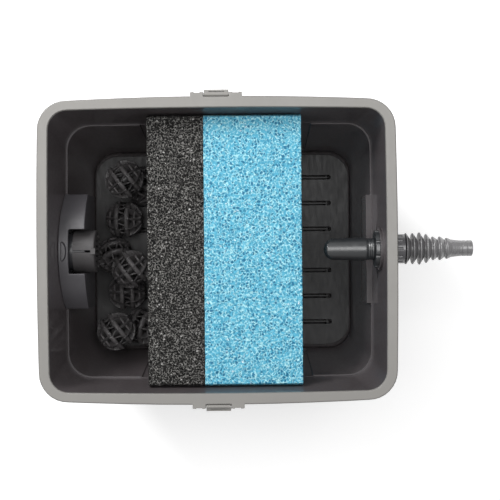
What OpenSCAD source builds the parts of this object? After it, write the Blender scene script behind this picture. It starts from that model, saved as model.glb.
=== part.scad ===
// Flow-through pond box filter, open top: a moulded tank with a grey rim frame, two foam
// blocks, loose bio balls, a hose inlet with a short elbow and a cowled outlet strainer.
// Millimetres. Origin: centre of the tank's underside. +X to the hose tail, +Z up.

/* [Tank] */
// Length over the rim frame, along X
rim_length = 410; // [400:1:430]
// Width over the rim frame, along Y
rim_width = 350; // [345:1:360]
// Height over the rim frame
tank_height = 260; // [256:1:270]
// Wall thickness of the tank
wall = 4; // [3.5:0.1:4.5]
// Width of the rim frame seen from above
rim_band = 12.5; // [12:0.1:14]
// Outer corner radius of the rim frame
rim_corner_r = 33; // [28:1:38]
// How far the rim's long sides bow outwards
rim_bow_long = 4; // [0:0.5:5]
// How far the rim's short sides bow outwards
rim_bow_short = 1.5; // [0:0.5:3]
// Height of the inner ledge above the underside
ledge_z = 180; // [170:1:190]
// Half length and half width inside, just below the ledge
ledge_half_x = 183.3; // [182:0.1:186]
ledge_half_y = 152.3; // [151:0.1:154]
// Half length and half width inside, at the floor
floor_half_x = 171.6; // [171:0.1:174]
floor_half_y = 131; // [130:0.1:134]
// Inward step of the wall at the ledge
ledge_step = 1.9; // [1:0.1:2.4]

/* [Inlet] */
// Height of the hose inlet's axis
inlet_z = 222; // [219:0.5:223]
// Crest radii of the hose tail's barbs, from the nut outwards
barb_r = [18.25, 18.25, 19, 17, 14, 14, 12.5];
// Spacing of the barbs
barb_pitch = 7.93; // [7.5:0.05:8.5]
// Radius of the hose tail between the barbs
tail_core_r = 10.3; // [10:0.1:10.6]
// Radius of the hose tail's smooth end
tail_end_r = 9.25; // [9:0.05:9.5]
// Bore radius of the hose tail
tail_bore_r = 7.6; // [7:0.1:7.8]
// Radius of the elbow at its shoulder and at its square heel
elbow_r = [13.6, 12.5];
// X position of the elbow's down-turned leg
leg_x = 138; // [136:1:142]
// Height of the leg's open end
leg_end_z = 198; // [190:1:204]

/* [Outlet] */
// Height of the outlet's axis
outlet_z = 187; // [185:0.5:188]
// Thread radius of the outlet spigot's free end
outlet_thread_r = 23.9; // [23.5:0.1:24.1]
// Radius of the outlet spigot where its nut runs
outlet_stub_r = 24.6; // [24.4:0.1:24.8]
// Bore radius of the outlet spigot
outlet_bore_r = 20; // [19:0.1:20.5]
// Radius of the strainer drum
drum_r = 25.4; // [25.2:0.1:25.6]
// Half width of the cowl
cowl_half = 69; // [67:0.5:71]
// Radius of the cowl's arched top
cowl_arch_r = 90; // [86:1:95]
// Height of the cowl's crown
cowl_top_z = 218.5; // [217:0.5:220]
// Height of the cowl's open lower edge
cowl_bottom_z = 134; // [130:1:138]

/* [Media] */
// X range of the black foam block
black_x = [-81.5, -16.3];
// X range of the blue foam block
blue_x = [-15.9, 97.3];
// Height of the foam blocks' top faces
foam_top_z = 235; // [225:1:240]
// Half length of the foam blocks at the top and at the bottom
foam_half = [155, 128];
// Radius of a bio ball
ball_r = 25; // [24.5:0.1:25]
// Half width of a bio ball's open belt
ball_belt = 4.2; // [3.8:0.1:4.6]

/* [Base grid] */
// Length, width and corner radius of the base grid
grid_size = [342, 257, 30];
// Height of the grid's upper face
grid_z = 30; // [29:0.5:31]
// Distance of the slots from the centre line
slot_y = [28, 63, 98];
// Length and width of a slot
slot_size = [295, 6];

/* [Clips] */
// Length of the lug that carries a clip
lug_length = 59; // [56:1:64]
// Width of a clip
clip_width = 28; // [26:1:30]
// How far a clip hangs below its pin
clip_drop = 40; // [36:1:44]
// Radius of the hinge pins
pin_r = 1.2; // [1.1:0.05:1.3]

/* [Hidden] */
$fn = 48;
eps = 0.01;

BLACK = [0.10, 0.10, 0.11];
GREY = [0.60, 0.60, 0.58];
DARK_GREY = [0.30, 0.30, 0.32];
RUBBER = [0.07, 0.07, 0.07];

rim_hx = rim_length / 2;
rim_hy = rim_width / 2;
rim_plate = 4;
rim_skirt = 18;
wall_top_z = tank_height - rim_plate;
inner_hx = rim_hx - rim_band;
inner_hy = rim_hy - rim_band - 0.4;
inner_r = 22;
ledge_r = 28;
floor_t = 4;

// Each level of the tank: [z, half x, half y, corner radius, bow of short and long sides]
FLOOR = [floor_t, floor_half_x, floor_half_y, 30, 0, 0];
LEDGE = [ledge_z, ledge_half_x, ledge_half_y, ledge_r, 0.6, 1];
STEP = [ledge_z, ledge_half_x + ledge_step, ledge_half_y + ledge_step, ledge_r, 0.6, 1];
TOP = [wall_top_z, inner_hx, inner_hy, inner_r, 1, 2];

// Base grid: plate thickness, underside of its ribs, and the places and radius of its legs
plate_t = 3;
rib_z = 14;
grid_leg_xs = [-142, 0, 142];
grid_leg_ys = [-112, 112];
grid_leg_r = 5;

// Inner wall's half length at height z, above the ledge
function upper_hx(z) = STEP[1] + (TOP[1] - STEP[1]) * (z - ledge_z) / (wall_top_z - ledge_z);

// Inlet stack along X, from the water side outwards
inlet_boss = [187, 196];
inlet_nut_t = 4.5;
inlet_thread_r = 15;
inlet_bore_r = 10;
seal_t = 2;
bulkhead_flange_t = 4;
bulkhead_end_x = 211.4;
tail_seal_t = 1;
tail_flange_x = [bulkhead_end_x + tail_seal_t, 214.6];
union_x = [203, 217];
barb_x = 218.8;
tail_end_x = 296.5;
tail_taper_x = [268.8, 281.5];
elbow_wall = 2.2;
elbow_shoulder_x = [170.5, 173.5];
neck_r = 12.8;
neck_groove = 0.5;
neck_pitch = 2.1;
elbow_spigot_r = inlet_bore_r - 0.05;
elbow_spigot_x = 195;
fit_gap = 0.08;

// Outlet stack along X, from the water side outwards
outlet_boss = [-181.6, -193.5];
outlet_boss_r = 28.2;
outlet_flange_t = 3;
outlet_nut_t = 8;
outlet_nut_x = outlet_boss[1] - seal_t - outlet_nut_t;
outlet_end_x = -213.5;
spigot_front_x = -158;
spigot_front_r = 22.8;
key_t = 1.2;
key_end_x = -158.5;
drum_x = [-173, -147];
drum_dome = 2.4;
cowl_front_x = -157.7;
cowl_t = 3;
notch_back_x = -176.6;
notch_r = 26.2;
cowl_wall_gap = 0.3;
// Reach along X and half width along Y of the cowl's finger recess
recess = [5.8, 11.5];

// Clip hinge line
pin_y = 177.3;
pin_z = tank_height - 3.5;
lug_out_y = 179.5;
lug_in_y = 170;
lug_bottom_z = tank_height - rim_skirt + 1;
recess_y = pin_y - 3.1;
barrel_r = 2.6;
clip_plate = [3.5, 5.6];
clip_top = 1;
pin_half = lug_length / 2 - 4;

// Bio balls: [centre x, y, z, turn of the ball's bars about Z, tilt]
BALLS = [
    [-123.3, 92, 102.5, -52, 90], [-129.7, 42.5, 55.2, 88, 84], [-117, -23.5, 95.8, -52, 90],
    [-127.2, -54, 55.2, 92, 96], [-136.4, -103.5, 95.8, -52, 90], [-143, -6, 55.2, 20, 60],
    [-106.8, -101, 55.2, 75, 70], [-106.7, 87.4, 55.2, -20, 75]];

// Quarter of a rounded outline with gently bowed sides
function quarter(hx, hy, r, bow_x, bow_y) =
    let (cx = hx - bow_x - r, cy = hy - bow_y - r)
    concat(
        [for (i = [0:3]) let (y = cy * (i + 0.5) / 4) [hx - bow_x * pow(y / cy, 2), y]],
        [for (a = [0:11.25:90]) [cx + r * cos(a), cy + r * sin(a)]],
        [for (i = [3:-1:0]) let (x = cx * (i + 0.5) / 4) [x, hy - bow_y * pow(x / cx, 2)]]);

function flip(points) = [for (i = [len(points) - 1:-1:0]) points[i]];

function outline(hx, hy, r, bow_x = 0, bow_y = 0) =
    let (q = quarter(hx, hy, r, bow_x, bow_y))
    concat(q, flip([for (p = q) [-p.x, p.y]]), [for (p = q) [-p.x, -p.y]],
        flip([for (p = q) [p.x, -p.y]]));

// Thin slice of a tank level, grown sideways by g, at height z
module level(l, g = 0, z = undef) {
    translate([0, 0, is_undef(z) ? l[0] : z])
        linear_extrude(eps)
            polygon(outline(l[1] + g, l[2] + g, l[3] + g, l[4], l[5]));
}

// Cylinder along +X from x0 to x1, on the axis at height z
module rod(x0, x1, r, z) {
    translate([x0, 0, z]) rotate([0, 90, 0]) cylinder(r = r, h = x1 - x0);
}

module pipe(x0, x1, r, bore, z) {
    difference() {
        rod(x0, x1, r, z);
        rod(x0 - 1, x1 + 1, bore, z);
    }
}

// ---- Tank -----------------------------------------------------------------------------

module tank_outside() {
    hull() {
        level(FLOOR, wall, 0);
        level(LEDGE, wall, ledge_z - wall);
    }
    hull() {
        level(STEP, wall, ledge_z - wall);
        level(TOP, wall, wall_top_z - eps);
    }
}

module tank_inside() {
    hull() {
        level(FLOOR);
        level(LEDGE, 0, ledge_z);
    }
    hull() {
        level(STEP, 0, ledge_z);
        level(TOP, 0, wall_top_z + eps);
    }
}

// Shallow pocket in both long walls that takes the ends of the foam blocks
module foam_pocket() {
    pocket_x = [-95, 112];
    depth = 1.5;
    low_z = 34;
    low_y = floor_half_y + (ledge_half_y - floor_half_y) * (low_z - floor_t) / (ledge_z - floor_t);
    translate([pocket_x[0], 0, 0])
        rotate([90, 0, 90])
            linear_extrude(pocket_x[1] - pocket_x[0])
                polygon([[-low_y - depth, low_z], [low_y + depth, low_z],
                    [ledge_half_y + depth, ledge_z + eps], [-ledge_half_y - depth, ledge_z + eps]]);
}

// Thickened seat under the inlet, with a sloping underside
module inlet_pad() {
    pad_half = 66;
    pad_x = 178;
    rotate([90, 0, 0])
        translate([0, 0, -pad_half])
            linear_extrude(2 * pad_half)
                polygon([[pad_x, ledge_z], [187, ledge_z], [184, 112], [181, 112], [pad_x, 124]]);
}

// Clearance hole through an end wall, with fine flats all round
module wall_hole(x, r, z) {
    translate([x, 0, z])
        rotate([90, 0, 90])
            linear_extrude(60)
                polygon([for (a = [0:9:351]) r * [cos(a), sin(a)]]);
}

// Shallow panels under the floor that leave a perimeter foot and a cross
module base_panels() {
    for (sx = [-1, 1], sy = [-1, 1])
        translate([sx * 84, sy * 64, -1])
            linear_extrude(2.2)
                polygon(outline(74, 54, 14));
}

module tank() {
    color(BLACK)
        difference() {
            union() {
                difference() {
                    tank_outside();
                    tank_inside();
                    foam_pocket();
                }
                inlet_pad();
                rod(inlet_boss[0], inlet_boss[1], 25, inlet_z);
                rod(outlet_boss[1], outlet_boss[0], outlet_boss_r, outlet_z);
            }
            wall_hole(150, inlet_thread_r + 0.4, inlet_z);
            wall_hole(-210, outlet_stub_r + 0.3, outlet_z);
            base_panels();
        }
}

// ---- Rim frame and its clips ------------------------------------------------------------

module rim_ring(out_hx, out_hy, out_r, in_hx, in_hy, in_r, z0, z1) {
    translate([0, 0, z0])
        linear_extrude(z1 - z0)
            difference() {
                polygon(outline(out_hx, out_hy, out_r, rim_bow_short, rim_bow_long));
                polygon(outline(in_hx, in_hy, in_r, 1, 2));
            }
}

module lug(side) {
    mirror([0, side > 0 ? 0 : 1, 0])
        difference() {
            translate([-lug_length / 2, lug_in_y, lug_bottom_z])
                cube([lug_length, lug_out_y - lug_in_y, tank_height - lug_bottom_z]);
            translate([-clip_width / 2 - 0.6, recess_y, lug_bottom_z - 1])
                cube([clip_width + 1.2, 10, rim_skirt + 2]);
            // Shallow dips at the ends of the lug's outer face
            for (sx = [-1, 1])
                translate([sx * 22 - 3.5, lug_out_y - 0.6, lug_bottom_z - 1])
                    cube([7, 2, rim_skirt + 2]);
        }
}

module rim_frame() {
    skirt_t = 3;
    chamfer = 1.2;
    r = rim_corner_r;
    lip_gap = 0.2;
    color(GREY)
        difference() {
            union() {
                rim_ring(rim_hx, rim_hy, r, inner_hx, inner_hy, inner_r,
                    wall_top_z, tank_height - chamfer);
                rim_ring(rim_hx - chamfer / 2, rim_hy - chamfer / 2, r - chamfer / 2,
                    inner_hx + chamfer / 2, inner_hy + chamfer / 2, inner_r + chamfer / 2,
                    tank_height - chamfer, tank_height);
                // Outer skirt
                translate([0, 0, tank_height - rim_skirt])
                    linear_extrude(rim_skirt - rim_plate)
                        difference() {
                            polygon(outline(rim_hx, rim_hy, r, rim_bow_short, rim_bow_long));
                            polygon(outline(rim_hx - skirt_t, rim_hy - skirt_t, r - skirt_t,
                                rim_bow_short, rim_bow_long));
                        }
                // Locating lip outside the tank wall
                translate([0, 0, wall_top_z - 7])
                    linear_extrude(7)
                        difference() {
                            polygon(outline(inner_hx + wall + 2.4, inner_hy + wall + 2.4,
                                inner_r + wall + 2.4, 1, 2));
                            polygon(outline(inner_hx + wall + lip_gap, inner_hy + wall + lip_gap,
                                inner_r + wall + lip_gap, 1, 2));
                        }
                lug(1);
                lug(-1);
            }
            for (side = [-1, 1]) {
                // The recess goes on through the skirt's outer face
                translate([-clip_width / 2 - 0.6, side > 0 ? recess_y : -recess_y - 10,
                        lug_bottom_z - 2])
                    cube([clip_width + 1.2, 10, rim_skirt + 4]);
                translate([-pin_half, side * pin_y, pin_z])
                    rotate([0, 90, 0])
                        cylinder(r = pin_r, h = 2 * pin_half);
            }
        }
}

module clip_pins() {
    color("silver")
        for (side = [-1, 1])
            translate([-pin_half, side * pin_y, pin_z])
                rotate([0, 90, 0])
                    cylinder(r = pin_r, h = 2 * pin_half);
}

// Hanging lid clip: two arms from a barrel, a plate and an outward hook at its lower end
module clip() {
    w = clip_width;
    arm = 5;
    difference() {
        union() {
            translate([-w / 2, 0, 0])
                rotate([0, 90, 0])
                    cylinder(r = barrel_r, h = w);
            for (x = [-w / 2, w / 2 - arm])
                translate([x, 0, 0])
                    rotate([90, 0, 90])
                        linear_extrude(arm)
                            polygon([[0, -barrel_r], [2.2, -clip_top], [clip_plate[1], -clip_top],
                                [clip_plate[1], -11], [clip_plate[0], -11]]);
            // Plate with a hook rolled outwards
            translate([-w / 2, 0, 0])
                rotate([90, 0, 90])
                    linear_extrude(w)
                        polygon([[clip_plate[0], -clip_top], [clip_plate[1], -clip_top],
                            [clip_plate[1], 2.8 - clip_drop], [8.6, 1.2 - clip_drop],
                            [8.6, -clip_drop], [clip_plate[0] + 0.8, -clip_drop],
                            [clip_plate[0], 1 - clip_drop]]);
            // Stiffening ribs on the plate's outer face
            for (x = [-w / 4, w / 4])
                translate([x - 1, clip_plate[1] - eps, 6 - clip_drop])
                    cube([2, 1.2, clip_drop - 14]);
        }
        translate([-w, 0, 0])
            rotate([0, 90, 0])
                cylinder(r = pin_r + 0.05, h = 2 * w);
    }
}

module back_clip() {
    color(GREY) translate([0, pin_y, pin_z]) clip();
}

module front_clip() {
    color(GREY) mirror([0, 1, 0]) translate([0, pin_y, pin_z]) clip();
}

// ---- Inlet --------------------------------------------------------------------------------

module inlet_bulkhead() {
    flange = [inlet_boss[1] + seal_t, inlet_boss[1] + seal_t + bulkhead_flange_t];
    color(BLACK)
        difference() {
            union() {
                rod(inlet_boss[0] - inlet_nut_t, bulkhead_end_x, inlet_thread_r, inlet_z);
                translate([flange[0], 0, inlet_z])
                    rotate([0, 90, 0])
                        cylinder(r = 19.4, h = bulkhead_flange_t, $fn = 6);
            }
            rod(170, 220, inlet_bore_r, inlet_z);
        }
}

module inlet_seal() {
    color(RUBBER)
        pipe(inlet_boss[1], inlet_boss[1] + seal_t, 18.5, inlet_thread_r + fit_gap, inlet_z);
}

module inlet_lock_nut() {
    nut_r = 21.75;
    color(BLACK)
        difference() {
            pipe(inlet_boss[0] - inlet_nut_t, inlet_boss[0], nut_r, inlet_thread_r + fit_gap, inlet_z);
            for (a = [22.5:45:360])
                translate([0, 0, inlet_z])
                    rotate([a, 0, 0])
                        translate([0, 0, nut_r + 1])
                            rod(180, 190, 2.6, 0);
        }
}

// Square-heeled elbow, drawn in by t: a tapered pipe along X and a leg that turns down
module elbow_body(t, x1) {
    heel_x = leg_x - elbow_r[1];
    taper = (elbow_r[0] - elbow_r[1]) / (elbow_shoulder_x[0] - leg_x);
    heel_r = elbow_r[1] - taper * elbow_r[1];
    // Pipe from the leg's axis to the shoulder
    translate([leg_x, 0, inlet_z])
        rotate([0, 90, 0])
            cylinder(r1 = elbow_r[1] - t, r2 = elbow_r[0] - t, h = elbow_shoulder_x[0] - leg_x);
    rod(elbow_shoulder_x[0] - eps, x1, neck_r - neck_groove - t, inlet_z);
    // Heel: the pipe's crown carried on to the leg's outer face
    intersection() {
        translate([heel_x, 0, inlet_z])
            rotate([0, 90, 0])
                cylinder(r1 = heel_r - t, r2 = elbow_r[1] - t, h = elbow_r[1] + eps);
        translate([leg_x, 0, inlet_z - 30])
            cylinder(r = elbow_r[1] - t, h = 60);
    }
    translate([leg_x, 0, leg_end_z - (t > 0 ? 1 : 0)])
        cylinder(r = elbow_r[1] - t, h = inlet_z - leg_end_z + (t > 0 ? 1 : 0));
}

// Rounded shoulder and grooved neck between the elbow and the lock nut
module elbow_neck(x1) {
    rise = elbow_r[0] - neck_r;
    run = elbow_shoulder_x[1] - elbow_shoulder_x[0];
    grooves = floor((x1 - elbow_shoulder_x[1] - 1) / neck_pitch);
    translate([0, 0, inlet_z])
        rotate([0, 90, 0])
            rotate_extrude()
                polygon(concat(
                    [[elbow_spigot_r - 1, elbow_shoulder_x[0] - eps]],
                    [for (a = [0:15:90])
                        [neck_r + rise * cos(a), elbow_shoulder_x[0] + run * sin(a)]],
                    [for (i = [0:grooves - 1])
                        let (x = elbow_shoulder_x[1] + 0.8 + i * neck_pitch)
                        each [[neck_r, x], [neck_r - neck_groove, x + 0.5],
                            [neck_r - neck_groove, x + 0.9], [neck_r, x + 1.4]]],
                    [[neck_r, x1], [elbow_spigot_r - 1, x1]]));
}

module inlet_elbow() {
    collar_x = inlet_boss[0] - inlet_nut_t;
    color(BLACK)
        difference() {
            union() {
                elbow_body(0, collar_x);
                elbow_neck(collar_x);
                rod(collar_x - eps, elbow_spigot_x, elbow_spigot_r, inlet_z);
                // Rolled lip round the leg's open end
                translate([leg_x, 0, leg_end_z])
                    cylinder(r = elbow_r[1] + 0.5, h = 2.4);
            }
            elbow_body(elbow_wall, collar_x - 4);
            rod(leg_x, elbow_spigot_x + 1, tail_bore_r, inlet_z);
        }
}

// Sawtooth profile of the hose tail: each barb is steep towards the nut
function barb_profile(i) =
    let (x = barb_x + i * barb_pitch, r = barb_r[i])
    [[tail_core_r, x - 1.1], [r - 0.5, x - 0.5], [r, x], [r, x + 0.7],
        [tail_core_r + 0.25 * (r - tail_core_r), x + 4.6], [tail_core_r, x + 5.6]];

module hose_tail() {
    groove = [283.6, 289.3];
    color(DARK_GREY)
        translate([0, 0, inlet_z])
            rotate([0, 90, 0])
                rotate_extrude()
                    polygon(concat(
                        [[tail_bore_r, tail_flange_x[0]], [14.5, tail_flange_x[0]],
                            [14.5, tail_flange_x[1]], [tail_core_r, tail_flange_x[1]]],
                        [for (i = [0:len(barb_r) - 1]) each barb_profile(i)],
                        [[tail_core_r, tail_taper_x[0] + 4], [tail_end_r, tail_taper_x[1]],
                            [tail_end_r, groove[0]], [tail_end_r - 0.6, groove[0] + 0.2],
                            [tail_end_r - 0.6, groove[0] + 1], [tail_end_r, groove[0] + 1.2],
                            [tail_end_r, groove[1]], [tail_end_r - 0.6, groove[1] + 0.2],
                            [tail_end_r - 0.6, groove[1] + 1], [tail_end_r, groove[1] + 1.2],
                            [tail_end_r, tail_end_x - 0.6], [tail_end_r - 0.6, tail_end_x],
                            [tail_bore_r, tail_end_x]]));
}

module hose_tail_seal() {
    color(RUBBER)
        pipe(bulkhead_end_x, tail_flange_x[0], 14.2, inlet_bore_r, inlet_z);
}

module union_nut() {
    nut_r = 17.2;
    flutes = 12;
    color(DARK_GREY)
        difference() {
            rod(union_x[0], union_x[1], nut_r, inlet_z);
            rod(union_x[0] - 1, tail_flange_x[1] + fit_gap, inlet_thread_r + fit_gap, inlet_z);
            rod(union_x[0], union_x[1] + 1, tail_core_r + fit_gap, inlet_z);
            for (i = [0:flutes - 1])
                translate([0, 0, inlet_z])
                    rotate([i * 360 / flutes, 0, 0])
                        translate([0, 0, nut_r + 1.3])
                            rod(union_x[0] - 1, union_x[1] - 3, 2.2, 0);
        }
}

// ---- Outlet -------------------------------------------------------------------------------

module outlet_spigot() {
    flange_x = outlet_boss[0] + outlet_flange_t;
    color(BLACK)
        difference() {
            union() {
                rod(outlet_end_x, outlet_boss[1], outlet_thread_r, outlet_z);
                rod(outlet_nut_x - 0.5, flange_x, outlet_stub_r, outlet_z);
                rod(outlet_boss[0], flange_x, outlet_boss_r - 0.2, outlet_z);
                rod(outlet_boss[0], spigot_front_x, spigot_front_r, outlet_z);
                // Key that the strainer drum's top slit slides over
                translate([flange_x - eps, -key_t / 2, outlet_z + spigot_front_r - 1])
                    cube([key_end_x - flange_x, key_t, drum_r - spigot_front_r + 0.4]);
            }
            rod(outlet_end_x - 1, spigot_front_x + 1, outlet_bore_r, outlet_z);
        }
}

module outlet_seal() {
    color(RUBBER)
        pipe(outlet_boss[1] - seal_t, outlet_boss[1], outlet_boss_r, outlet_stub_r + fit_gap, outlet_z);
}

module outlet_nut() {
    color(BLACK)
        difference() {
            translate([outlet_nut_x, 0, outlet_z])
                rotate([0, 90, 0])
                    rotate([0, 0, 30])
                        cylinder(r = 33, h = outlet_nut_t, $fn = 6);
            rod(outlet_nut_x - 1, outlet_boss[1], outlet_stub_r + fit_gap, outlet_z);
        }
}

// Cap with a slotted, slightly domed front that pulls off the spigot's inner stub
module strainer_drum() {
    front_t = 2.5;
    bar_pitch = 6;
    slit_w = 2.6;
    color(DARK_GREY)
        difference() {
            union() {
                translate([0, 0, outlet_z])
                    rotate([0, 90, 0])
                        rotate_extrude()
                            polygon([[0, drum_x[0]], [drum_r, drum_x[0]], [drum_r, drum_x[1] - 1],
                                [drum_r - 0.8, drum_x[1]], [drum_r - 6, drum_x[1] + drum_dome * 0.5],
                                [drum_r - 14, drum_x[1] + drum_dome * 0.9],
                                [0, drum_x[1] + drum_dome]]);
                // Grip tab at the top of the front edge
                translate([drum_x[1] - 4, -3.6, outlet_z + drum_r - 3])
                    cube([5.7, 7.2, 5.6]);
            }
            rod(drum_x[0] - 1, drum_x[1] - front_t, spigot_front_r + fit_gap, outlet_z);
            for (i = [-3:3])
                translate([drum_x[1] - 5, i * bar_pitch - 1.3, outlet_z])
                    translate([0, 0, -sqrt(361 - pow(i * bar_pitch, 2))])
                        cube([10, 2.6, 2 * sqrt(361 - pow(i * bar_pitch, 2))]);
            // Flex slits from the open end, at every quarter turn
            for (a = [0:90:270])
                translate([0, 0, outlet_z])
                    rotate([a, 0, 0])
                        translate([drum_x[0] - 1, -slit_w / 2, spigot_front_r - 1])
                            cube([22.5, slit_w, 6]);
        }
}

// Section of the cowl: straight sides under an arched crown, drawn in by t
module cowl_section(t, low_z) {
    intersection() {
        translate([-(cowl_half - t), low_z]) square([2 * (cowl_half - t), 120]);
        translate([0, cowl_top_z - cowl_arch_r]) circle(r = cowl_arch_r - t, $fn = 96);
    }
}

module outlet_cowl() {
    back_x = -195;
    color(BLACK)
        intersection() {
            difference() {
                translate([back_x, 0, 0])
                    rotate([90, 0, 90])
                        linear_extrude(cowl_front_x - back_x)
                            cowl_section(0, cowl_bottom_z);
                translate([back_x - 1, 0, 0])
                    rotate([90, 0, 90])
                        linear_extrude(cowl_front_x - cowl_t - back_x + 1)
                            cowl_section(cowl_t, cowl_bottom_z - 1);
                // Notch that the strainer drum sits in
                rod(notch_back_x, cowl_front_x + 5, notch_r, outlet_z);
                translate([notch_back_x, -notch_r, outlet_z])
                    cube([30, 2 * notch_r, 60]);
                // Shallow half-oval finger recess against the wall
                translate([-STEP[1], 0, cowl_top_z - 1.2])
                    linear_extrude(5)
                        polygon([for (a = [-90:15:90]) [recess[0] * cos(a), recess[1] * sin(a)]]);
            }
            cowl_back_trim();
        }
}

// The space inside the tank's end wall, a small gap short of it
module cowl_back_trim() {
    g = cowl_wall_gap;
    lean = (ledge_half_x - floor_half_x) / (ledge_z - floor_t);
    low_x = ledge_half_x - (ledge_z - 100) * lean;
    rotate([90, 0, 0])
        translate([0, 0, -100])
            linear_extrude(200)
                polygon([[-low_x + g, 100], [-ledge_half_x + g, ledge_z],
                    [-STEP[1] + g, ledge_z], [-upper_hx(230) + g, 230], [-100, 230], [-100, 100]]);
}

// ---- Media --------------------------------------------------------------------------------

module base_grid() {
    color(BLACK)
        difference() {
            union() {
                translate([0, 0, grid_z - plate_t])
                    linear_extrude(plate_t)
                        difference() {
                            polygon(outline(grid_size[0] / 2, grid_size[1] / 2, grid_size[2]));
                            for (s = [-1, 1], y = slot_y) grid_slot(s * y);
                        }
                // Edge skirt
                translate([0, 0, rib_z])
                    linear_extrude(grid_z - rib_z - eps)
                        difference() {
                            polygon(outline(grid_size[0] / 2, grid_size[1] / 2, grid_size[2]));
                            polygon(outline(grid_size[0] / 2 - 2.5, grid_size[1] / 2 - 2.5,
                                grid_size[2] - 2.5));
                        }
                // Bars set low in the slots, and the cross ribs that carry them
                for (s = [-1, 1], y = slot_y)
                    translate([-slot_size[0] / 2 + 4, s * y - 1.1, 19])
                        cube([slot_size[0] - 8, 2.2, 6]);
                for (x = [-142, -71, 0, 71, 142])
                    translate([x - 1.2, -grid_size[1] / 2 + 6, rib_z])
                        cube([2.4, grid_size[1] - 12, 8]);
                for (x = [-142, -71, 0, 71, 142], y = [-45.5, 0, 45.5, -80.5, 80.5, -112, 112])
                    translate([x - 1.2, y - 5, rib_z])
                        cube([2.4, 10, grid_z - plate_t - rib_z + eps]);
                // Bosses over the legs
                for (x = grid_leg_xs, y = grid_leg_ys)
                    translate([x, y, rib_z])
                        cylinder(r = grid_leg_r, h = grid_z - plate_t - rib_z + eps);
            }
        }
}

// Legs of the base grid, standing on the floor below the ribs
module grid_legs() {
    color(BLACK)
        for (x = grid_leg_xs, y = grid_leg_ys)
            translate([x, y, floor_t])
                cylinder(r = grid_leg_r, h = rib_z - floor_t);
}

module grid_slot(y) {
    l = slot_size[0] / 2 - slot_size[1] / 2;
    translate([-l, y]) circle(d = slot_size[1], $fn = 24);
    translate([l, y]) circle(d = slot_size[1], $fn = 24);
    translate([-l, y - slot_size[1] / 2]) square([2 * l, slot_size[1]]);
}

// Foam block cut to the tank's taper
module foam(x) {
    translate([x[0], 0, 0])
        rotate([90, 0, 90])
            linear_extrude(x[1] - x[0])
                polygon([[-foam_half[1], grid_z + 0.3], [foam_half[1], grid_z + 0.3],
                    [foam_half[0], foam_top_z], [-foam_half[0], foam_top_z]]);
}

module black_foam() {
    color([0.16, 0.16, 0.16]) foam(black_x);
}

module blue_foam() {
    color([0.33, 0.70, 0.85]) foam(blue_x);
}

// Bio ball: two finned domes behind thick rings, an open belt with slanted pins, and a hub
module ball() {
    for (side = [0, 1])
        mirror([0, 0, side]) ball_dome();
    cylinder(r = 6, h = 40, center = true);
    // Pins that slant to and fro across the belt
    pins = 16;
    pin_ring_r = 19.5;
    lean = 24;
    for (i = [0:pins - 1])
        rotate([0, 0, i * 360 / pins])
            translate([pin_ring_r, 0, 0])
                rotate([i % 2 == 0 ? lean : -lean, 0, 0])
                    cylinder(r = 1.15, h = 2 * ball_belt / cos(lean) + 1.5, center = true, $fn = 16);
}

module ball_dome() {
    ring_t = 5.2;
    fin_t = 2.2;
    fin_planes = 5;
    // Thick ring beside the belt
    translate([0, 0, ball_belt])
        difference() {
            cylinder(r = ball_r - 1.7, h = ring_t);
            translate([0, 0, -1]) cylinder(r = 14.5, h = ring_t + 2);
        }
    // Meridian fins, hollow inside and open at the pole
    difference() {
        intersection() {
            sphere(r = ball_r);
            union()
                for (i = [0:fin_planes - 1])
                    rotate([0, 0, (i + 0.5) * 180 / fin_planes])
                        translate([-ball_r, -fin_t / 2, ball_belt + 1])
                            cube([2 * ball_r, fin_t, ball_r]);
        }
        sphere(r = 14);
        cylinder(r = 6.5, h = 2 * ball_r);
    }
    // Cap ring and pole disc
    translate([0, 0, 15])
        difference() {
            cylinder(r = 17.6, h = 2.4);
            translate([0, 0, -1]) cylinder(r = 14.6, h = 5);
        }
    translate([0, 0, 19.4])
        cylinder(r = 8, h = 3.6);
}

module bio_ball(i) {
    b = BALLS[i];
    color([0.17, 0.16, 0.16])
        translate([b[0], b[1], b[2]])
            rotate([0, 0, b[3]])
                rotate([b[4], 0, 0])
                    ball();
}

tank();
rim_frame();
front_clip();
back_clip();
clip_pins();
inlet_bulkhead();
inlet_seal();
inlet_lock_nut();
inlet_elbow();
hose_tail_seal();
hose_tail();
union_nut();
outlet_spigot();
outlet_seal();
outlet_nut();
strainer_drum();
outlet_cowl();
base_grid();
grid_legs();
black_foam();
blue_foam();
for (i = [0:len(BALLS) - 1])
    bio_ball(i);
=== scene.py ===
"""Looks of an open pond box filter: finishes, foam cut faces, threads and the stage."""

import math

import bpy
import numpy as np
from bpy.props import FloatProperty, FloatVectorProperty, PointerProperty
from mathutils import Euler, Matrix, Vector


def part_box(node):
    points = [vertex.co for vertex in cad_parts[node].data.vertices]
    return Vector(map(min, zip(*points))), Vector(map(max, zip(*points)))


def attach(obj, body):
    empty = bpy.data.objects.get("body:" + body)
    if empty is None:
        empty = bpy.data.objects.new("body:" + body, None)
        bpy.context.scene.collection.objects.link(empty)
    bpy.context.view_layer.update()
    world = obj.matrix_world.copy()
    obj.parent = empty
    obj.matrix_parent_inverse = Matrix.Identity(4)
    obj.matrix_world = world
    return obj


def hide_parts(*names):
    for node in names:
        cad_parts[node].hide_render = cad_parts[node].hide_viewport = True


bl_info = {
    "name": "Pond box filter",
    "version": (1, 0, 0),
    "blender": (4, 5, 0),
    "location": "View3D > Sidebar > Filter",
    "description": "Dresses a pond box filter: moulded box, foam blocks, bio balls and fittings",
    "category": "Object",
}

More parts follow.
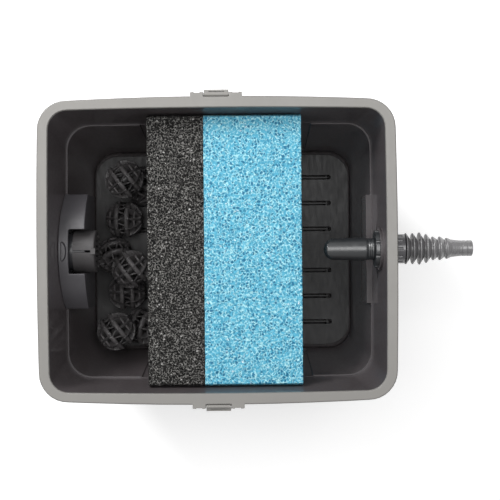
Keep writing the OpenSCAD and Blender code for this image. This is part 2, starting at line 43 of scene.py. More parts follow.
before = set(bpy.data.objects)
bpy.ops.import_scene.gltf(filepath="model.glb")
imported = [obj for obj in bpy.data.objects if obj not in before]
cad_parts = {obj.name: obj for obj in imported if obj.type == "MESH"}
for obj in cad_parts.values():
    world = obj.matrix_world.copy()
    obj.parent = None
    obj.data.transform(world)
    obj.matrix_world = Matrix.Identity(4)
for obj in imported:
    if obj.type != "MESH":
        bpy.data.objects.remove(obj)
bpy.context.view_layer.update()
MM = 0.001
BALLS = sorted(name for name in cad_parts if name.startswith("bio_ball_"))

# Foam blocks
SHOULDER = 12 * MM  # height at a block's top over which the bulge of its ends comes in
TALL_STEP = 1.5  # how much coarser the mesh is up a block than across it
STRUT_SHARE = 0.5  # share of a cell, from its strut inwards, over which the dent deepens
DENT_CURVE = 1.3  # how steeply a dent falls away from its strut
HOLLOW_PORES = 5  # pores across one of the shallow hollows of the cut
HOLLOW_DEPTH = 0.4 * MM
SIDE_SHARE = 0.3  # share of a dent's depth that the upright faces take
PROUD = 0.2 * MM  # how far the upright faces stand in front of the solid
LATTICE_TURN = (0.7, 0.4, 0.9)  # turn of the cells against the block, in radians
FAR = 9.0  # further than any cell's point

# Moulded edges and corners
WELD_GAP = 0.005 * MM
SHARP = math.radians(32)  # an edge sharper than this is rounded
LEVEL = math.radians(0.4)  # neighbouring faces flatter than this are one face
NORMAL_WEIGHT = 80
CORNER_STEPS = 16  # points along one rounded corner

# Section of the base grid's lip, in mm: how far it stands past the grid in X and in Y, its
# corner radius, and its height from the top of the grid
LIP_SECTION = (
    (-0.1, -0.1, 29.9, -0.5),
    (-0.1, -0.1, 29.9, -2.0),
    (1.9, 5.1, 29.7, -2.6),
    (2.0, 5.2, 29.7, -1.6),
    (0.9, 2.2, 29.8, -0.8),
)
STUB_RADIUS = 23.85 * MM  # just inside the surface that carries the pipe thread
STUB_MARGIN = 0.5 * MM  # bare length at each end of the thread

# Scales of the noises that the plastics share, in repeats a metre
FLOW = 18  # streaks left by the melt
WAVE = 30  # unevenness of the moulded skin
SCUFF = 240  # rubbed and dull patches
UPRIGHT_STREAKS = (1, 1, 0.35)

# Stage, in metres
AIM_HEIGHT = 0.15
STRIP_PLACE = (0.02, 0.18, 1.75)
STRIP_TARGET = (0.02, 0, AIM_HEIGHT)
STRIP_SIZE = (1.5, 0.85)
KEY_PLACE = (-0.75, 0.95, 1.1)
KEY_TARGET = (0, 0, AIM_HEIGHT)
KEY_SIZE = (0.6, 0.6)
FLOOR_HALF = 4.0
FLOOR_DROP = 0.2 * MM
GLOW_NEAR, GLOW_FAR = 0.46, 0.9  # the floor's own light, as seen close to the filter and away from it
GLOW_START, GLOW_END = 0.5, 1.8  # distances between which it rises
AMBIENT = 0.42  # strength of the room's light on the filter
WHITE = (1, 1, 1, 1)

MIX_FACTOR, MIX_FIRST, MIX_SECOND, MIX_RESULT = 0, 6, 7, 2  # colour sockets of a Mix node


def colour_property(name, description, default):
    return FloatVectorProperty(
        name=name, description=description, default=default, subtype="COLOR", size=3, min=0, max=1
    )


def length_property(name, description, default):
    return FloatProperty(
        name=name, description=description, default=default, unit="LENGTH", min=0, precision=5
    )


def power_property(name, description, default):
    return FloatProperty(name=name, description=description, default=default, unit="POWER")


class FilterSizes(bpy.types.PropertyGroup):
    """Sizes of the surface detail"""

    pore: length_property("Foam pore", "Pitch of the foam's open cells", 3.5 * MM)
    swell: length_property("Foam swell", "How far the foam's ends bulge towards the walls", 4.3 * MM)
    pore_depth: length_property("Pore depth", "How deep the cut cells go in", 1.5 * MM)
    foam_step: length_property("Foam step", "Distance between points of the foam's mesh", 1.35 * MM)
    edge: length_property("Tank edge radius", "Rounding of the tank's moulded edges", 0.7 * MM)
    thread_pitch: length_property("Thread pitch", "Pitch of the outlet's pipe thread", 2.3 * MM)
    thread_depth: length_property("Thread depth", "Height of the outlet's pipe thread", 0.4 * MM)


class FilterColours(bpy.types.PropertyGroup):
    """Colours of the finishes, in linear light"""

    tank: colour_property("Tank", "Black moulded tank", (0.058, 0.051, 0.054))
    # painted fill light: a lighter colour mixed into the inner walls, more towards the bottom, standing in
    # for light in the deep box
    painted_fill: colour_property("Haze", "Silt haze low on the inner walls", (0.165, 0.141, 0.146))
    rim: colour_property("Rim", "Warm grey rim frame and clips", (0.232, 0.224, 0.211))
    fitting: colour_property("Fittings", "Glossy black fittings", (0.020, 0.022, 0.024))
    cowl: colour_property("Cowl", "Satin black outlet cowl", (0.070, 0.067, 0.073))
    drum: colour_property("Drum", "Dark grey strainer drum", (0.050, 0.047, 0.048))
    grid: colour_property("Base grid", "Black base grid", (0.025, 0.0235, 0.024))
    lip: colour_property("Grid lip", "Soft lip round the base grid", (0.034, 0.029, 0.030))
    ball: colour_property("Bio balls", "Black bio balls", (0.072, 0.068, 0.069))
    nut: colour_property("Union nut", "Dark grey union nut", (0.064, 0.062, 0.068))
    tail: colour_property("Hose tail", "Grey hose tail", (0.150, 0.147, 0.151))
    rubber: colour_property("Rubber", "Seals", (0.018, 0.018, 0.018))
    blue: colour_property("Blue foam", "Body of the blue foam", (0.078, 0.395, 0.565))
    # painted shade in the blue foam's open cells
    blue_pore_shade: colour_property("Blue pores", "Open cells of the blue foam", (0.008, 0.16, 0.29))
    # painted highlight on the blue foam's cut struts
    blue_strut_highlight: colour_property("Blue struts", "Cut struts of the blue foam", (0.40, 0.73, 0.79))
    black: colour_property("Black foam", "Body of the black foam", (0.013, 0.0125, 0.012))
    # painted shade in the black foam's open cells
    black_pore_shade: colour_property("Black pores", "Open cells of the black foam", (0.004, 0.004, 0.004))
    # painted highlight on the black foam's cut struts
    black_strut_highlight: colour_property("Black struts", "Cut struts of the black foam", (0.24, 0.235, 0.225))


class FilterStage(bpy.types.PropertyGroup):
    """Camera and lamps"""

    lens: FloatProperty(name="Lens", description="Focal length in millimetres", default=73.1, min=10)
    height: length_property("Camera height", "Camera above the rim", 1.15)
    aside: length_property("Camera aside", "Camera towards the hose tail", 37.1 * MM)
    roll: FloatProperty(
        name="Roll",
        description="Turn of the camera about its view",
        default=math.radians(-0.5),
        subtype="ANGLE",
    )
    strip_power: power_property("Strip light", "Long lamp overhead", 13)
    key_power: power_property("Key light", "Soft lamp on the outlet side", 18)


# ---- Node helpers ---------------------------------------------------------------------------


class Finish:
    """A material with a Principled shader and short calls that add nodes to it"""

    def __init__(self, name):
        self.material = bpy.data.materials.new(name)
        self.material.use_nodes = True
        self.nodes = self.material.node_tree.nodes
        self.links = self.material.node_tree.links
        self.nodes.clear()
        self.shader = self.nodes.new("ShaderNodeBsdfPrincipled")
        output = self.nodes.new("ShaderNodeOutputMaterial")
        self.link(self.shader.outputs["BSDF"], output.inputs["Surface"])
        self.place = self.nodes.new("ShaderNodeTexCoord").outputs["Object"]

    def link(self, source, target):
        self.links.new(source, target)

    def feed(self, value, socket):
        """Links a node's output to the socket, or sets the socket to a plain value"""
        if hasattr(value, "is_linked"):
            self.link(value, socket)
        else:
            socket.default_value = value

    def noise(self, scale, detail=3.0, rough=0.55, stretch=None, output="Fac"):
        node = self.nodes.new("ShaderNodeTexNoise")
        node.inputs["Scale"].default_value = scale
        node.inputs["Detail"].default_value = detail
        node.inputs["Roughness"].default_value = rough
        self.link(self.stretched(stretch), node.inputs["Vector"])
        return node.outputs[output]

    def stretched(self, stretch):
        if stretch is None:
            return self.place
        node = self.nodes.new("ShaderNodeMapping")
        node.inputs["Scale"].default_value = stretch
        self.link(self.place, node.inputs["Vector"])
        return node.outputs["Vector"]

    def cells(self, scale, feature="F1", output="Distance"):
        node = self.nodes.new("ShaderNodeTexVoronoi")
        node.feature = feature
        node.inputs["Scale"].default_value = scale
        self.link(self.place, node.inputs["Vector"])
        return node.outputs[output]

    def range(self, source, low, high, to_low=0, to_high=1):
        node = self.nodes.new("ShaderNodeMapRange")
        for name, value in zip(
            ("From Min", "From Max", "To Min", "To Max"), (low, high, to_low, to_high), strict=True
        ):
            node.inputs[name].default_value = value
        self.link(source, node.inputs["Value"])
        return node.outputs["Result"]

    def mix(self, amount, first, second):
        node = self.nodes.new("ShaderNodeMix")
        node.data_type = "RGBA"
        self.feed(amount, node.inputs[MIX_FACTOR])
        for index, value in ((MIX_FIRST, first), (MIX_SECOND, second)):
            colour = value if hasattr(value, "is_linked") else (*value, 1)
            self.feed(colour, node.inputs[index])
        return node.outputs[MIX_RESULT]

    def combine(self, operation, first, second):
        node = self.nodes.new("ShaderNodeMath")
        node.operation = operation
        self.link(first, node.inputs[0])
        self.link(second, node.inputs[1])
        return node.outputs["Value"]

    def vector(self, operation, *values, output="Vector"):
        node = self.nodes.new("ShaderNodeVectorMath")
        node.operation = operation
        for index, value in enumerate(values):
            self.feed(value, node.inputs[index])
        return node.outputs[output]

    def height(self, source):
        """The Z of a place or a direction"""
        node = self.nodes.new("ShaderNodeSeparateXYZ")
        self.link(source, node.inputs["Vector"])
        return node.outputs["Z"]

    def bump(self, height, distance, strength=1.0, before=None):
        node = self.nodes.new("ShaderNodeBump")
        node.inputs["Distance"].default_value = distance
        node.inputs["Strength"].default_value = strength
        self.link(height, node.inputs["Height"])
        if before is not None:
            self.link(before, node.inputs["Normal"])
        return node.outputs["Normal"]

    def set(self, **values):
        for name, value in values.items():
            self.feed(value, self.shader.inputs[name.replace("_", " ")])


def shade(colour, factor):
    """The colour made lighter or darker by a factor"""
    return tuple(min(1.0, c * factor) for c in colour)


def moulded_plastic(
    name,
    colour,
    rough=0.45,
    grain=900,
    grain_depth=0.06 * MM,
    mottle=0.18,
    edge_highlight=1.3,
    ior=1.5,
    wave=0.12 * MM,
):
    """Injection-moulded plastic: fine grain, faint flow mottle and convex edges paled by a painted edge
    highlight
    """
    f = Finish(name)
    streaks = f.range(f.noise(FLOW, 4, stretch=UPRIGHT_STREAKS), 0.3, 0.7)
    body = f.mix(streaks, shade(colour, 1 - mottle), shade(colour, 1 + mottle))
    corners = f.nodes.new("ShaderNodeNewGeometry").outputs["Pointiness"]
    scuff = f.noise(SCUFF, 5, 0.7, stretch=(1, 0.25, 1))
    skin = f.bump(f.noise(WAVE, 2), wave)
    f.set(
        # convex edges take a paler colour: painted edge highlight
        Base_Color=f.mix(f.range(corners, 0.52, 0.60), body, shade(colour, edge_highlight)),
        Roughness=f.range(scuff, 0.35, 0.75, rough - 0.06, rough + 0.09),
        Normal=f.bump(f.noise(grain, 2), grain_depth, before=skin),
        IOR=ior,
    )
    return f.material


def tank_plastic(name, colour, painted_fill):
    """Black moulded box: glossy upright walls inside, lifted with painted fill light towards the bottom,
    and a dull grained outside; the inside is a lighter copy of the black than the outside, painted light
    """
    f = Finish(name)
    normal = f.nodes.new("ShaderNodeNewGeometry").outputs["Normal"]
    from_middle = f.vector("MULTIPLY", f.place, (1, 1, 0))
    facing_out = f.vector("DOT_PRODUCT", normal, from_middle, output="Value")
    outside = f.range(facing_out, 0.0, 0.02)
    inside = f.range(outside, 0, 1, 1, 0)
    upright = f.combine("MULTIPLY", f.range(f.height(normal), 0.25, 0.6, 1, 0), inside)
    # painted fill light: mixed in patchily, more towards the bottom of the upright inner walls, lifting the
    # shade there
    painted_fill_by_height = f.range(f.height(f.place), 0.03, 0.23, 0.90, 0.28)
    patchy = f.range(f.noise(26, 4), 0.3, 0.7, 0.85, 1.0)
    painted_fill_amount = f.combine("MULTIPLY", patchy, painted_fill_by_height)
    streaks = f.range(f.noise(FLOW, 4, stretch=UPRIGHT_STREAKS), 0.3, 0.7)
    # inside and outside are lit and shaded copies of one black: the lighter inside copy is painted light
    # for the lit box, the outside keeps the darker copy
    lit_inner_copy = f.mix(streaks, shade(colour, 0.85), shade(colour, 1.15))
    inner = f.mix(f.combine("MULTIPLY", painted_fill_amount, upright), lit_inner_copy, painted_fill)
    outer = f.mix(streaks, shade(colour, 0.42), shade(colour, 0.56))
    grain = f.mix(outside, (0.5, 0.5, 0.5), f.range(f.noise(900, 3), 0.2, 0.8))
    skin = f.bump(f.noise(WAVE, 2), 0.12 * MM)
    f.set(
        Base_Color=f.mix(outside, inner, outer),
        Roughness=f.range(f.noise(SCUFF, 5, 0.7), 0.35, 0.75, 0.46, 0.58),
        Normal=f.bump(grain, 0.09 * MM, before=skin),
        Coat_Weight=upright,
        Coat_Roughness=0.09,
    )
    return f.material


def rubber(name, colour):
    """Matt rubber with a little pale dust"""
    f = Finish(name)
    dust = f.noise(160, 5)
    f.set(
        Base_Color=f.mix(f.range(dust, 0.4, 0.8), colour, shade(colour, 2.0)),
        Roughness=f.range(dust, 0.3, 0.7, 0.6, 0.8),
        Normal=f.bump(f.noise(700, 2), 0.05 * MM),
    )
    return f.material


def drawn_steel(name):
    """Steel pin with fine lines along X"""
    f = Finish(name)
    lines = f.noise(1500, 3, stretch=(0.02, 1, 1))
    f.set(
        Base_Color=f.mix(lines, (0.42, 0.42, 0.43), (0.62, 0.62, 0.63)),
        Metallic=1.0,
        Roughness=f.range(lines, 0.3, 0.7, 0.22, 0.4),
        Normal=f.bump(lines, 0.02 * MM),
    )
    return f.material


def reticulated_foam(name, body, pore, strut, size, thick, glint, shine):
    """Open-cell foam of cells size across: cells darkened by painted shade, struts paled by painted
    highlight and a few painted glints
    """
    f = Finish(name)
    wander = f.noise(0.8 / size, 2, 0.5, output="Color")
    f.place = f.vector("MULTIPLY_ADD", wander, (1.2 * size,) * 3, f.place)
    edge = f.cells(1 / size, "DISTANCE_TO_EDGE")
    fine = f.cells(1.9 / size, "DISTANCE_TO_EDGE")
    own = f.nodes.new("ShaderNodeSeparateColor")
    f.link(f.cells(1 / size, output="Color"), own.inputs["Color"])
    # open cells darkened towards the pore colour: painted shade
    deep = f.mix(f.range(own.outputs["Red"], 0.25, 0.85), pore, body)
    # struts paled towards the strut colour: painted highlight
    bright = f.mix(f.range(f.noise(1.3 / size, 2, 0.6), 0.44, 0.60), body, strut)
    cut = f.mix(f.range(edge, thick, thick + 0.12, 1, 0), deep, bright)
    # a few cells take a near-white spot: painted glint
    chosen = f.range(own.outputs["Blue"], 0.90, 0.95)
    glint_spots = f.combine("MULTIPLY", chosen, f.range(f.cells(1 / size), 0.15, 0.45, 1, 0))
    f.set(
        Base_Color=f.mix(glint_spots, cut, glint),
        Roughness=f.range(f.noise(300, 3), 0.3, 0.7, 0.45, 0.7),
        Specular_IOR_Level=shine,
        Normal=f.bump(f.noise(900, 3), 0.4 * MM, 0.6, before=f.bump(fine, 0.8 * MM, 0.8)),
    )
    return f.material


# ---- Shape helpers --------------------------------------------------------------------------


def dress(node, material, edge=0.0, segments=2, merged=False):
    """Gives a CAD node its finish and smooth shading, and rounds its sharp edges by edge"""
    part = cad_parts[node]
    part.data.materials.clear()
    part.data.materials.append(material)
    if part.data.has_custom_normals:
        with bpy.context.temp_override(object=part, active_object=part):
            bpy.ops.mesh.customdata_custom_splitnormals_clear()
    part.data.shade_smooth()
    weld = part.modifiers.new("weld", "WELD")
    weld.merge_threshold = WELD_GAP
    if merged:
        flat = part.modifiers.new("flat", "DECIMATE")
        flat.decimate_type = "DISSOLVE"
        flat.angle_limit = LEVEL
    if edge:
        bevel = part.modifiers.new("edge", "BEVEL")
        bevel.width = edge
        bevel.segments = segments
        bevel.limit_method = "ANGLE"
        bevel.angle_limit = SHARP
        bevel.use_clamp_overlap = False
        bevel.miter_outer = "MITER_ARC"
        bevel.face_strength_mode = "FSTR_ALL"
    weighted = part.modifiers.new("normals", "WEIGHTED_NORMAL")
    weighted.weight = NORMAL_WEIGHT
    weighted.keep_sharp = False
    weighted.use_face_influence = bool(edge)


def new_mesh(name, points, faces, material, body):
    """A smooth piece that rides on a body"""
    mesh = bpy.data.meshes.new(name)
    mesh.from_pydata([tuple(p) for p in points], [], [tuple(int(i) for i in face) for face in faces])
    mesh.materials.append(material)
    mesh.shade_smooth()
    piece = bpy.data.objects.new(name, mesh)
    bpy.context.scene.collection.objects.link(piece)
    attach(piece, body)
    return piece


def box_lattice(counts):
    """Points on the surface of a unit block, its quads, and each point's outward direction"""
    index = {}
    points = []
    quads = []

    def number(key):
        if key not in index:
            index[key] = len(points)
            points.append(key)
        return index[key]

    for axis in range(3):
        u, v = (axis + 1) % 3, (axis + 2) % 3
        for side in (0, counts[axis]):
            for i in range(counts[u]):
                for j in range(counts[v]):
                    corners = []
                    for a, b in ((0, 0), (1, 0), (1, 1), (0, 1)):
                        key = [0, 0, 0]
                        key[axis], key[u], key[v] = side, i + a, j + b
                        corners.append(number(tuple(key)))
                    quads.append(corners if side else corners[::-1])
    places = np.array(points, float) / np.array(counts, float)
    outward = np.where(places == 0, -1.0, np.where(places == 1, 1.0, 0.0))
    outward /= np.linalg.norm(outward, axis=1)[:, None]
    return places, np.array(quads), outward


def scatter(cell, seed):
    """Three even random numbers for each whole-number cell, by mixing the bits of its place"""
    word = (cell.astype(np.uint64) * np.array([0x9E3779B1, 0x85EBCA77, 0xC2B2AE3D], np.uint64)).sum(1)
    word += np.uint64(seed * 7919)
    numbers = []
    for k in range(3):
        mixed = word + np.uint64(0x9E3779B97F4A7C15 >> k)
        for shift, factor in ((30, 0xBF58476D1CE4E5B9), (27, 0x94D049BB133111EB)):
            mixed = (mixed ^ (mixed >> np.uint64(shift))) * np.uint64(factor)
        numbers.append((mixed >> np.uint64(40)).astype(float) / 2**24)
    return np.stack(numbers, 1)


def cell_noise(points, size, seed):
    """Nearest and second nearest distances to one free point in each cell of a turned lattice"""
    turn = np.array(Euler(LATTICE_TURN).to_matrix())
    place = points @ turn / size
    base = np.floor(place).astype(np.int64)
    nearest = np.full(len(points), FAR)
    second = np.full(len(points), FAR)
    for dx in (-1, 0, 1):
        for dy in (-1, 0, 1):
            for dz in (-1, 0, 1):
                cell = base + np.array([dx, dy, dz])
                gap = np.linalg.norm(cell + scatter(cell, seed) - place, axis=1)
                second = np.where(gap < nearest, nearest, np.minimum(second, gap))
                nearest = np.minimum(nearest, gap)
    return nearest, second


def foam_block(node, body, material, seed):
    """Cut block of open-cell foam: dented cells all over, and ends that bulge towards the walls"""
    sizes = bpy.context.scene.filter_sizes
    low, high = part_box(node)
    corners = np.array([v.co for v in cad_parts[node].data.vertices])
    foot = abs(corners[corners[:, 2] < low.z + MM][:, 1]).max()
    span = high - low
    counts = [max(4, round(span[k] / sizes.foam_step)) for k in range(3)]
    counts[2] = round(span.z / (sizes.foam_step * TALL_STEP))
    places, quads, outward = box_lattice(counts)
    x = low.x + span.x * places[:, 0]
    z = low.z + span.z * places[:, 2]
    half = foot + (high.y - foot) * places[:, 2]
    below_top = np.clip((high.z - z) / SHOULDER, 0, 1)
    half = half + sizes.swell * below_top**2 * (3 - 2 * below_top)
    points = np.stack([x, half * (2 * places[:, 1] - 1), z], 1)
    nearest, second = cell_noise(points, sizes.pore, seed)
    dent = np.clip((second - nearest) / STRUT_SHARE, 0, 1) ** DENT_CURVE
    hollow = np.clip(cell_noise(points, sizes.pore * HOLLOW_PORES, seed + 5)[0], 0, 1)
    depth = sizes.pore_depth * dent + HOLLOW_DEPTH * hollow
    push = outward * depth[:, None]
    push[:, :2] = SIDE_SHARE * push[:, :2] - PROUD * np.sign(outward[:, :2])
    points -= push
    piece = new_mesh(node + "_cut", points, quads, material, body)
    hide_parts(node)
    return piece


def rounded_outline(half_x, half_y, radius):
    """Points of a rounded rectangle, the same number for every size"""
    points = []
    for quarter, (sx, sy) in enumerate(((1, 1), (-1, 1), (-1, -1), (1, -1))):
        for k in range(CORNER_STEPS + 1):
            angle = math.pi / 2 * (quarter + k / CORNER_STEPS)
            x = sx * (half_x - radius) + radius * math.cos(angle)
            y = sy * (half_y - radius) + radius * math.sin(angle)
            points.append((x, y))
    return points


def ring(name, profile, material, body):
    """Closed ring through rounded rectangles, each given by its half sizes, radius and height"""
    loops = [rounded_outline(*size[:3]) for size in profile]
    count = len(loops[0])
    points = [(x, y, size[3]) for loop, size in zip(loops, profile, strict=True) for x, y in loop]
    faces = []
    for k in range(len(profile)):
        a, b = k * count, (k + 1) % len(profile) * count
        faces += [(a + i, a + (i + 1) % count, b + (i + 1) % count, b + i) for i in range(count)]
    return new_mesh(name, points, faces, material, body)


def thread(name, x0, x1, radius, height, material, body):
    """Raised helical pipe thread along X, faded out at both ends"""
    sizes = bpy.context.scene.filter_sizes
    pitch = sizes.thread_pitch
    root, crest = 0.42 * pitch, 0.12 * pitch  # half the thread's width at its foot and at its top
    sunk = -0.1 * MM  # its foot lies under the surface
    steps = 64  # points in one turn
    count = steps * (int((x1 - x0) / pitch) - 1)
    points = []
    faces = []
    for i in range(count + 1):
        angle = 2 * math.pi * i / steps
        fade = min(1.0, i / (steps / 2), (count - i) / (steps / 2))
        rise = sizes.thread_depth * fade
        x = x0 + pitch * (0.5 + i / steps)
        for dx, lift in ((-root, sunk), (-crest, rise), (crest, rise), (root, sunk)):
            r = radius + lift
            points.append((x + dx, r * math.sin(angle), height + r * math.cos(angle)))
        if i:
            a = 4 * (i - 1)
            b = 4 * i
            faces += [(a + k, a + k + 1, b + k + 1, b + k) for k in range(3)]
    return new_mesh(name, points, faces, material, body)


# ---- Operators --------------------------------------------------------------------------------


class FILTER_OT_stage(bpy.types.Operator):
    """Sets up the camera, the soft lamps and the pale floor"""

    bl_idname = "filter.stage"
    bl_label = "Stage"

    def execute(self, context):
        stage = context.scene.filter_stage
        rim_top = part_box("rim_frame")[1].z
        camera = bpy.data.objects.new("camera", bpy.data.cameras.new("camera"))
        context.scene.collection.objects.link(camera)
        camera.data.lens = stage.lens
        camera.location = (stage.aside, 0, rim_top + stage.height)
        camera.rotation_euler = (0, 0, stage.roll)
        context.scene.camera = camera
        self.lamp(context, "strip", stage.strip_power, STRIP_PLACE, STRIP_TARGET, STRIP_SIZE)
        self.lamp(context, "key", stage.key_power, KEY_PLACE, KEY_TARGET, KEY_SIZE)
        self.floor(context)
        self.world(context)
        context.scene.view_settings.view_transform = "Standard"
        return {"FINISHED"}

    def lamp(self, context, name, power, place, target, size):
        lamp = bpy.data.objects.new(name, bpy.data.lights.new(name, "AREA"))
        lamp.data.shape = "RECTANGLE"
        lamp.data.size, lamp.data.size_y = size
        lamp.data.energy = power
        lamp.location = place
        aim = Vector(target) - Vector(place)
        lamp.rotation_euler = aim.to_track_quat("-Z", "Y").to_euler()
        context.scene.collection.objects.link(lamp)

    def floor(self, context):
        """Pale floor that reads as white to the camera and in reflections, and keeps its shadow"""
        f = Finish("floor_white")
        seen = f.nodes.new("ShaderNodeLightPath")
        mirrored = f.combine("MAXIMUM", seen.outputs["Is Camera Ray"], seen.outputs["Is Glossy Ray"])
        shown = f.combine("MAXIMUM", mirrored, seen.outputs["Is Transmission Ray"])
        away = f.vector("LENGTH", f.place, output="Value")
        glow = f.range(away, GLOW_START, GLOW_END, GLOW_NEAR, GLOW_FAR)
        f.set(
            Base_Color=f.mix(f.noise(4, 2), (0.80, 0.80, 0.80), (0.84, 0.84, 0.84)),
            Roughness=f.range(f.noise(30, 2), 0.3, 0.7, 0.75, 0.9),
            Emission_Strength=f.combine("MULTIPLY", shown, glow),
            Emission_Color=WHITE,
        )
        mesh = bpy.data.meshes.new("floor")
        corners = [(sx * FLOOR_HALF, sy * FLOOR_HALF, 0) for sx, sy in ((-1, -1), (1, -1), (1, 1), (-1, 1))]
        mesh.from_pydata(corners, [], [(0, 1, 2, 3)])
        mesh.materials.append(f.material)
        floor = bpy.data.objects.new("floor", mesh)
        floor.location.z = -FLOOR_DROP
        context.scene.collection.objects.link(floor)

    def world(self, context):
        """Even room light, seen as white by the camera"""
        world = bpy.data.worlds.new("studio")
        context.scene.world = world
        world.use_nodes = True
        nodes = world.node_tree.nodes
        links = world.node_tree.links
        nodes.clear()
        output = nodes.new("ShaderNodeOutputWorld")
        back = nodes.new("ShaderNodeBackground")
        seen = nodes.new("ShaderNodeLightPath")
        strength = nodes.new("ShaderNodeMapRange")
        strength.inputs["To Min"].default_value = AMBIENT
        links.new(seen.outputs["Is Camera Ray"], strength.inputs["Value"])
        links.new(strength.outputs["Result"], back.inputs["Strength"])
        links.new(back.outputs["Background"], output.inputs["Surface"])
        back.inputs["Color"].default_value = WHITE


class FILTER_OT_tank(bpy.types.Operator):
    """Finishes the moulded tank and the base grid, and makes the grid's lip"""

    bl_idname = "filter.tank"
    bl_label = "Tank and base grid"

    def execute(self, context):
        colours = context.scene.filter_colours
        edge = context.scene.filter_sizes.edge
        dress("tank", tank_plastic("tank_black", colours.tank, colours.painted_fill), edge)
        black = moulded_plastic(
            "grid_black", colours.grid, rough=0.5, grain=500, grain_depth=0.02 * MM, wave=0.03 * MM
        )
        dress("base_grid", black, 0.25 * MM)
        dress("grid_legs", black, 0.25 * MM)
        x, y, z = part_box("base_grid")[1]
        profile = [
            (x + out_x * MM, y + out_y * MM, radius * MM, z + rise * MM)
            for out_x, out_y, radius, rise in LIP_SECTION
        ]
        lip = ring("grid_lip", profile, rubber("lip_rubber", colours.lip), "filter_box")
        return {"FINISHED"}


class FILTER_OT_rim(bpy.types.Operator):
    """Finishes the rim frame, its clips and their pins"""

    bl_idname = "filter.rim"
    bl_label = "Rim frame and clips"

    def execute(self, context):
        colours = context.scene.filter_colours
        grey = moulded_plastic(
            "rim_grey", colours.rim, rough=0.40, grain=1100, grain_depth=0.03 * MM, mottle=0.04, edge_highlight=1.25
        )
        dress("rim_frame", grey, 0.7 * MM, segments=3)
        dress("front_clip", grey, 0.5 * MM)
        dress("back_clip", grey, 0.5 * MM)
        dress("clip_pins", drawn_steel("pin_steel"))
        return {"FINISHED"}


class FILTER_OT_inlet(bpy.types.Operator):
    """Finishes the inlet line: bulkhead, lock nut, elbow, seals, union nut and hose tail"""

    bl_idname = "filter.inlet"
    bl_label = "Inlet line"

    def execute(self, context):
        colours = context.scene.filter_colours
        gloss = moulded_plastic(
            "fitting_black",
            colours.fitting,
            rough=0.34,
            grain=500,
            grain_depth=0.01 * MM,
            mottle=0.15,
            edge_highlight=1.5,
            ior=1.9,
        )
        grey = moulded_plastic(
            "hose_tail_grey",
            colours.tail,
            rough=0.28,
            grain_depth=0.02 * MM,
            mottle=0.10,
            edge_highlight=1.5,
            ior=2.0,
        )
        seal = rubber("seal_rubber", colours.rubber)
        for node in ("inlet_bulkhead", "inlet_lock_nut"):
            dress(node, gloss, 0.3 * MM)
        dress("inlet_elbow", gloss)
        for node in ("inlet_seal", "hose_tail_seal"):
            dress(node, seal, 0.2 * MM)
        nut_grey = moulded_plastic(
            "nut_grey",
            colours.nut,
            rough=0.30,
            grain_depth=0.02 * MM,
            mottle=0.10,
            edge_highlight=1.5,
            ior=1.9,
        )
        dress("union_nut", nut_grey, 0.3 * MM)
        dress("hose_tail", grey, 0.25 * MM)
        return {"FINISHED"}


class FILTER_OT_outlet(bpy.types.Operator):
    """Finishes the outlet: cowl, strainer drum, spigot with its thread, seal and nut"""

    bl_idname = "filter.outlet"
    bl_label = "Outlet"

    def execute(self, context):
        colours = context.scene.filter_colours
        gloss = bpy.data.materials["fitting_black"]
        satin = moulded_plastic(
            "cowl_black", colours.cowl, rough=0.40, grain=800, grain_depth=0.02 * MM, mottle=0.2, edge_highlight=1.6
        )
        dress("outlet_cowl", satin, 1.2 * MM, segments=3, merged=True)
        dress("strainer_drum", moulded_plastic("drum_grey", colours.drum, rough=0.52), 0.35 * MM)
        dress("outlet_spigot", gloss, 0.3 * MM)
        dress("outlet_nut", gloss, 0.4 * MM)
        dress("outlet_seal", bpy.data.materials["seal_rubber"], 0.2 * MM)
        outer_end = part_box("outlet_spigot")[0].x
        nut_low, nut_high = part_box("outlet_nut")
        spigot_thread = thread(
            "spigot_thread",
            outer_end + STUB_MARGIN,
            nut_low.x - STUB_MARGIN,
            STUB_RADIUS,
            (nut_low.z + nut_high.z) / 2,
            gloss,
            "filter_box",
        )
        return {"FINISHED"}


class FILTER_OT_balls(bpy.types.Operator):
    """Finishes the bio balls"""

    bl_idname = "filter.balls"
    bl_label = "Bio balls"

    def execute(self, context):
        colours = context.scene.filter_colours
        black = moulded_plastic(
            "ball_black", colours.ball, rough=0.33, grain=700, grain_depth=0.04 * MM, mottle=0.3, edge_highlight=1.8
        )
        for node in BALLS:
            dress(node, black)
        return {"FINISHED"}


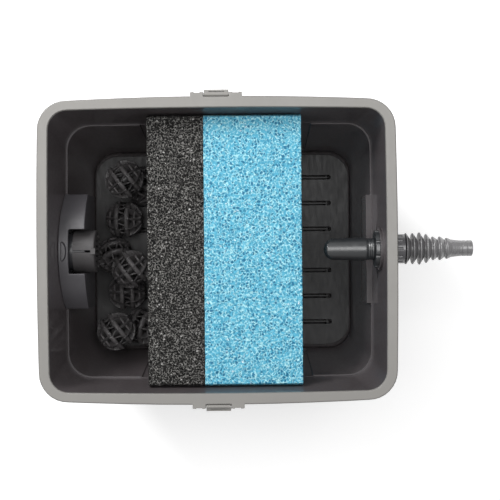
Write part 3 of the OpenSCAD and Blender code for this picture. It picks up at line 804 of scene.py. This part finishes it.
class FILTER_OT_foam(bpy.types.Operator):
    """Makes the two cut foam blocks with their open cells"""

    bl_idname = "filter.foam"
    bl_label = "Foam blocks"

    def execute(self, context):
        colours = context.scene.filter_colours
        pore = context.scene.filter_sizes.pore
        blue = reticulated_foam(
            "foam_blue",
            body=colours.blue,
            pore=colours.blue_pore_shade,
            strut=colours.blue_strut_highlight,
            size=pore,
            thick=0.08,
            glint=(0.80, 0.90, 0.93),
            shine=0.4,
        )
        black = reticulated_foam(
            "foam_black",
            body=colours.black,
            pore=colours.black_pore_shade,
            strut=colours.black_strut_highlight,
            size=0.8 * pore,
            thick=0.03,
            glint=(0.62, 0.61, 0.60),
            shine=0.1,
        )
        foam_block("blue_foam", "blue_foam", blue, 3)
        foam_block("black_foam", "black_foam", black, 8)
        return {"FINISHED"}


class FILTER_PT_panel(bpy.types.Panel):
    """Lists the filter's sizes, colours, stage and operators"""

    bl_idname = "FILTER_PT_panel"
    bl_label = "Pond box filter"
    bl_space_type = "VIEW_3D"
    bl_region_type = "UI"
    bl_category = "Filter"

    def draw(self, context):
        scene = context.scene
        for group in (scene.filter_sizes, scene.filter_colours, scene.filter_stage):
            box = self.layout.box()
            for name in group.__annotations__:
                box.prop(group, name)
        for operator in OPERATORS:
            self.layout.operator(operator.bl_idname)


OPERATORS = (
    FILTER_OT_stage,
    FILTER_OT_tank,
    FILTER_OT_rim,
    FILTER_OT_inlet,
    FILTER_OT_outlet,
    FILTER_OT_balls,
    FILTER_OT_foam,
)
GROUPS = (FilterSizes, FilterColours, FilterStage)


def register():
    for cls in (*GROUPS, *OPERATORS, FILTER_PT_panel):
        bpy.utils.register_class(cls)
    bpy.types.Scene.filter_sizes = PointerProperty(type=FilterSizes)
    bpy.types.Scene.filter_colours = PointerProperty(type=FilterColours)
    bpy.types.Scene.filter_stage = PointerProperty(type=FilterStage)


def unregister():
    for name in ("filter_sizes", "filter_colours", "filter_stage"):
        delattr(bpy.types.Scene, name)
    for cls in reversed((*GROUPS, *OPERATORS, FILTER_PT_panel)):
        bpy.utils.unregister_class(cls)


def main():
    register()
    bpy.ops.filter.stage()
    bpy.ops.filter.tank()
    bpy.ops.filter.rim()
    bpy.ops.filter.inlet()
    bpy.ops.filter.outlet()
    bpy.ops.filter.balls()
    bpy.ops.filter.foam()


if __name__ == "__main__":
    main()
